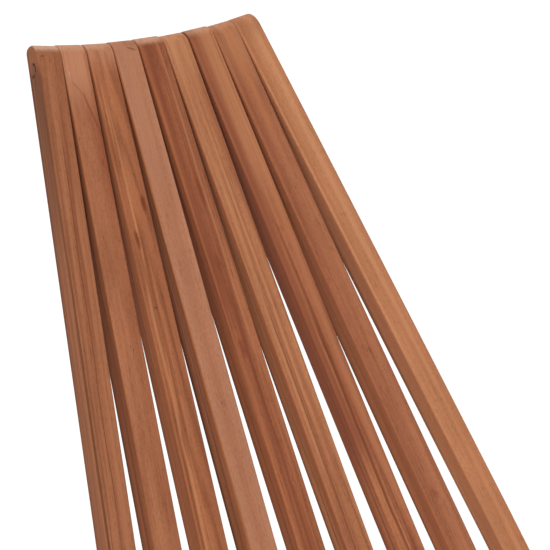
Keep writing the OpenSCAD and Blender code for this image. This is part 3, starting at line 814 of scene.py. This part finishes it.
top_rod_along = 0.7185
top_rod_at = back_plane @ Vector((0, top_rod_along, 0))
outer_back_fan = 4 * back_step
top_rod_reach = (
    back_across(9) - top_rod_along * math.tan(outer_back_fan)
    + stick_width / 2 / math.cos(outer_back_fan)
)
front_leg_slope = 40
leg_bend = math.radians(back_slope - front_leg_slope)
leg_rod_dist = 0.330
leg_half_width = stick_width / 2 - leg_relief
leg_rod_at = back_plane @ Vector((
    0, -leg_rod_dist * math.cos(leg_bend), leg_rod_dist * math.sin(leg_bend) - set_back,
))
outer_leg_fan = 3 * back_step
leg_rod_reach = (
    back_across(8) + leg_rod_dist * math.cos(leg_bend) * math.tan(outer_leg_fan)
    + leg_half_width / math.cos(outer_leg_fan)
)
rod_pocket = 0.0067
stub_low = -0.018
leg_low = -0.60


def end_pocket(at, reach, side, radius):
    """The pocket for a nut and plug in an outer face: from, to and radius."""
    depth, past = 0.012, 0.015
    return (
        (side * (reach - depth), at.y, at.z), (side * (reach + past), at.y, at.z), radius,
    )


for n in range(1, 10):
    fan = (n - 5) * back_step
    is_leg = n % 2 == 0
    holes = []
    if n in (1, 9):
        holes.append(end_pocket(top_rod_at, top_rod_reach, 1 if n == 9 else -1, rod_pocket))
    if n in (2, 8):
        holes.append(end_pocket(leg_rod_at, leg_rod_reach, 1 if n == 8 else -1, rod_pocket))
    stick = shape_stick(
        f"back_stick_{n}", back_place(n), stick_width, stick_width,
        apex / math.cos(fan) - apex_above + 0.001 * back_stray[n][4],
        leg_low if is_leg else stub_low, leg_bend if is_leg else 0.0, 1, stray_of(n), holes,
    )
    pale, middle, dark = back_tones[n]
    rings, ring_width, heart, slope, streaks = back_rings[n]
    stick.data.materials.append(wood_finish(
        f"back_wood_{n}", n * 3.7, pale, middle, dark, rings, ring_width, heart, slope,
        streaks, back_marks[n], painted_end_highlight=back_end_highlight[n],
    ))
    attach(stick, "back_frame")
    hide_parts(f"back_slat_{n}")


# Seat sticks. Eight narrower sticks of the same wood, planed square and eased, strung
# between the back sticks on the pivot rod and drawing together towards the front.
seat_slope = 16
seat_plane = Matrix.Translation(pivot) @ Matrix.Rotation(math.radians(180 - seat_slope), 4, "X")
seat_step = math.radians(1.45)
seat_width = 0.021
seat_depth = 0.025
seat_length = 0.470
seat_tones = [
    ((172, 112, 80), (154, 95, 67), (116, 65, 45)),
    ((182, 122, 86), (166, 106, 75), (130, 77, 53)),
    ((164, 103, 72), (146, 87, 61), (108, 60, 42)),
    ((176, 120, 92), (164, 108, 82), (128, 78, 58)),
]


def seat_across(n):
    return (back_across(n) + back_across(n + 1)) / 2


for n in range(1, 9):
    fan = (n - 4.5) * seat_step
    place = (
        seat_plane @ Matrix.Translation((seat_across(n), 0, 0)) @ Matrix.Rotation(fan, 4, "Z")
    )
    stick = shape_stick(
        f"seat_stick_{n}", place, seat_width, seat_depth, seat_length / math.cos(fan), stub_low,
        up=-1,
    )
    pale, middle, dark = seat_tones[n * 3 % 4]
    stick.data.materials.append(wood_finish(
        f"seat_wood_{n}", 40 + n * 2.9, pale, middle, dark, 0.15 + 0.08 * (n % 4),
        0.005 + 0.001 * (n * 5 % 4), (0.04 - 0.02 * (n % 5), 0, -0.03), 0.012 + 0.008 * (n % 3),
        0.25 + 0.1 * (n * 2 % 4),
    ))
    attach(stick, "seat_frame")
    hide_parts(f"seat_slat_{n}")


# Side rails. The two outer sticks of the seat, deeper than the rest, sawn to a bend at the
# pivot so that they run on as rear legs. Plugs fill the pockets over the nuts.
rail_width = 0.024
rail_depth = 0.032
rail_gap = 0.005
rail_low = -0.58
rail_fan = math.radians(5.6)
rear_leg_slope = 38
rail_bend = math.radians(rear_leg_slope - seat_slope)
rail_across = (
    back_across(9) + stick_width / 2 / math.cos(outer_back_fan) + rail_gap
    + rail_width / 2 / math.cos(rail_fan)
)
pivot_reach = rail_across + rail_width / 2 / math.cos(rail_fan)
pivot_pocket = 0.0097
screw_pocket = 0.00455
stretcher_dist = 0.320
stretcher_height = 0.045
seat_rod_along = 0.436
seat_rod_at = seat_plane @ Vector((0, seat_rod_along, 0))
seat_rod_reach = pivot_reach - seat_rod_along * math.tan(rail_fan)
rear_leg_plane = seat_plane @ Matrix.Rotation(-rail_bend, 4, "X")


def rear_leg_across(t):
    return rail_across + t * math.cos(rail_bend) * math.tan(rail_fan)


def stretcher_screw(side, row):
    """A screw through a rear leg into the stretcher: its middle point on the leg."""
    x = rear_leg_across(stretcher_dist) - row * stretcher_height / 4 * math.tan(rail_fan)
    return rear_leg_plane @ Vector((side * x, -stretcher_dist + row * stretcher_height / 4, 0))


for side, name in ((-1, "left"), (1, "right")):
    place = (
        seat_plane @ Matrix.Translation((side * rail_across, 0, 0))
        @ Matrix.Rotation(side * rail_fan, 4, "Z")
    )
    holes = [
        end_pocket(pivot, pivot_reach, side, pivot_pocket),
        end_pocket(seat_rod_at, seat_rod_reach, side, rod_pocket),
    ]
    for row in (-1, 1):
        at = stretcher_screw(side, row)
        deep, past = (at + Vector((side * x, 0, 0)) for x in (0.003, 0.03))
        holes.append((deep, past, screw_pocket))
    rail = shape_stick(
        f"side_rail_piece_{name}", place, rail_width, rail_depth,
        seat_length / math.cos(rail_fan), rail_low, -rail_bend, -1, None, holes,
    )
    rail.data.materials.append(wood_finish(
        f"rail_wood_{name}", 71 + side * 4.3, (172, 110, 78), (152, 93, 65), (112, 62, 43),
        0.35, 0.007, (side * 0.05, 0, -0.05), 0.02, 0.45,
    ))
    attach(rail, "seat_frame")
    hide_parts(f"side_rail_{name}")


# Seat bearer, rear stretcher and spacers. A bevelled bar let over the front legs carries
# the seat, a flat bar joins the rear legs, and turned spacers part the sticks on the rods.
def grain_across(tree):
    """Grain that runs across the chair, for bars and spacers that keep their CAD solid."""
    parts = split(tree, put(tree, "TexCoord").outputs["Object"])
    return join(tree, parts[1], parts[0], parts[2])


def dress(node, finish, bevel=0.0):
    """Gives a CAD node its finish, and eased edges where it has a width for them."""
    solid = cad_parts[node]
    solid.data.materials.clear()
    solid.data.materials.append(finish)
    if bevel:
        eased = solid.modifiers.new("eased", "BEVEL")
        eased.width, eased.segments, eased.limit_method = bevel, 3, "ANGLE"
        eased.angle_limit = math.radians(35)


bar_finish = wood_finish(
    "bar_wood", 91, (168, 108, 77), (148, 91, 64), (110, 61, 43), 0.4, 0.006,
    (-0.05, 0, 0.22), 0.02, 0.4, grain=grain_across,
)
spacer_finish = wood_finish(
    "spacer_wood", 97, (170, 110, 78), (152, 94, 66), (116, 66, 46), 0.25, 0.004,
    (0.02, 0, 0.1), 0.03, 0.5, grain=grain_across,
)
dress("seat_bearer", bar_finish, 0.0012)
dress("rear_stretcher", bar_finish, 0.0015)
dress("seat_front_spacers", spacer_finish)
dress("leg_rod_spacers", spacer_finish)


# Rods, nuts and screws. Zinc-plated steel, drawn and threaded, dull at the ends and with
# fine lines from drawing.
def metal_finish(name, colour, rough):
    finish, tree = blank_material(name)
    place = put(tree, "TexCoord").outputs["Object"]
    drawn = vector_calc(tree, "MULTIPLY", place, (30, 900, 900))
    fine = put(tree, "TexNoise", {"Vector": drawn, "Scale": 1.0, "Detail": 3.0}).outputs["Fac"]
    dull = put(tree, "TexNoise", {"Vector": place, "Scale": 60.0, "Detail": 4.0})
    shade = ramp(tree, dull.outputs["Fac"], 0.35, 0.7)
    paint = dye(tree, shade, tone(*colour), tone(*(c * 0.8 for c in colour)))
    roughness = plus(tree, rough, times(tree, fine, 0.2))
    rise = put(tree, "Bump", {"Height": fine, "Strength": 0.2, "Distance": 0.0003})
    shader = put(tree, "BsdfPrincipled", {
        "Base Color": paint, "Metallic": 1.0, "Roughness": roughness, "Normal": rise.outputs[0],
    })
    put(tree, "OutputMaterial", {"Surface": shader.outputs[0]})
    return finish


steel = metal_finish("zinc_steel", (190, 190, 186), 0.22)
for node in (
    "pivot_rod", "pivot_nuts", "top_rod", "top_rod_nuts", "seat_front_rod", "seat_front_nuts",
    "leg_rod", "leg_rod_nuts", "bearer_screws", "stretcher_screws",
):
    dress(node, steel)


# Washers and glides. Milk-white nylon washers part the sticks on the pivot rod, and
# black-brown moulded glides stand under the legs.
def moulded_finish(name, colour, rough, grit):
    finish, tree = blank_material(name)
    place = put(tree, "TexCoord").outputs["Object"]
    cloudy = put(tree, "TexNoise", {"Vector": place, "Scale": 90.0, "Detail": 3.0}).outputs["Fac"]
    grain = put(tree, "TexNoise", {"Vector": place, "Scale": 2600.0, "Detail": 2.0}).outputs["Fac"]
    shade = ramp(tree, cloudy, 0.4, 0.7)
    paint = dye(tree, shade, tone(*colour), tone(*(c * 0.86 for c in colour)))
    roughness = plus(tree, rough, times(tree, grain, 0.15))
    rise = put(tree, "Bump", {"Height": grain, "Strength": grit, "Distance": 0.0003})
    shader = put(tree, "BsdfPrincipled", {
        "Base Color": paint, "Roughness": roughness, "Normal": rise.outputs[0],
    })
    put(tree, "OutputMaterial", {"Surface": shader.outputs[0]})
    return finish


dress("pivot_washers", moulded_finish("nylon", (214, 208, 196), 0.4, 0.15), 0.0004)
glide_finish = moulded_finish("glide_plastic", (58, 50, 46), 0.45, 0.3)
dress("front_glides", glide_finish, 0.0006)
dress("rear_glides", glide_finish, 0.0006)


# Plugs. Discs of the same wood that are glued over the nuts, sanded almost flush, with a
# dark ring painted on the rim: painted shade of the gap round the plug.
def shape_plugs(name, ends, radius):
    """ends are (point on the face, outward face direction, grain turn), in the row frame.
    rings are each ring's share of the radius, and how far it lies below the recess."""
    recess = 0.0004
    # How strong the painted shade on the rim is
    rim_shade_strength = 0.7
    sides = 40
    rings = [
        (0.0, -0.00015), (0.45, -0.00012), (0.74, 0.0), (0.84, 0.0002), (1.0, 0.0012),
        (1.0, 0.0050),
    ]
    plug_points = 1 + sides * (len(rings) - 1)
    clean_points = sides * 2
    shape = bmesh.new()
    lie = []
    for at, out, turn in ends:
        at, out = Vector(at), Vector(out).normalized()
        side = 1 if out.x > 0 else -1
        layers = []
        for share, down in rings:
            layer = []
            for k in range(sides if share else 1):
                a = 2 * math.pi * k / sides
                y, z = radius * share * math.cos(a), radius * share * math.sin(a)
                x = -(y * out.y + z * out.z) / out.x - side * (recess + down)
                layer.append(shape.verts.new((at.x + x, at.y + y, at.z + z)))
                lie.append((
                    y * math.cos(turn) - z * math.sin(turn),
                    y * math.sin(turn) + z * math.cos(turn), x,
                ))
            layers.append(layer)
        for one, other in zip(layers, layers[1:]):
            for k in range(sides):
                j = (k + 1) % sides
                if len(one) == 1:
                    shape.faces.new((one[0], other[k], other[j]))
                else:
                    shape.faces.new((one[k], other[k], other[j], one[j]))
        shape.faces.new(layers[-1])
    bmesh.ops.recalc_face_normals(shape, faces=shape.faces)
    plugs = add_mesh(name, shape)
    grain = plugs.data.attributes.new("grain", "FLOAT_VECTOR", "POINT")
    wear_and_painted_light = plugs.data.attributes.new("wear_and_painted_light", "FLOAT_VECTOR", "POINT")
    for k, place in enumerate(lie):
        grain.data[k].vector = place
        # Points down the rim into the gap get the painted shade
        wear_and_painted_light.data[k].vector = (0.0, rim_shade_strength if k % plug_points > clean_points else 0.0, 0.0)
    smooth(plugs)
    return plugs


plug_finish = wood_finish(
    "plug_wood", 13, (142, 97, 73), (122, 79, 59), (84, 50, 38), 0.4, 0.004,
    (0.02, 0, -0.02), 0.05, 0.5,
)


def face_out(plane, side, fan):
    """Outward direction of the outer side face of a stick that fans out by that angle."""
    return plane.to_3x3() @ Vector((side * math.cos(fan), math.sin(fan), 0))


top_plug, rod_plug, pivot_plug = 0.0062, 0.0063, 0.0093
for name, node, body, at, reach, plane, fan, radius in (
    ("top_rod_plug_discs", "top_rod_plugs", "back_frame",
     top_rod_at, top_rod_reach, back_plane, outer_back_fan, top_plug),
    ("leg_rod_plug_discs", "leg_rod_plugs", "back_frame",
     leg_rod_at, leg_rod_reach, back_plane, outer_leg_fan, rod_plug),
    ("pivot_plug_discs", "pivot_plugs", "seat_frame",
     pivot, pivot_reach, seat_plane, rail_fan, pivot_plug),
    ("seat_front_plug_discs", "seat_front_plugs", "seat_frame",
     seat_rod_at, seat_rod_reach, seat_plane, rail_fan, rod_plug),
):
    plugs = shape_plugs(name, [
        ((side * reach, at.y, at.z), face_out(plane, side, fan), 0.7 + side * 0.5)
        for side in (-1, 1)
    ], radius)
    plugs.data.materials.append(plug_finish)
    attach(plugs, body)
    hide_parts(node)
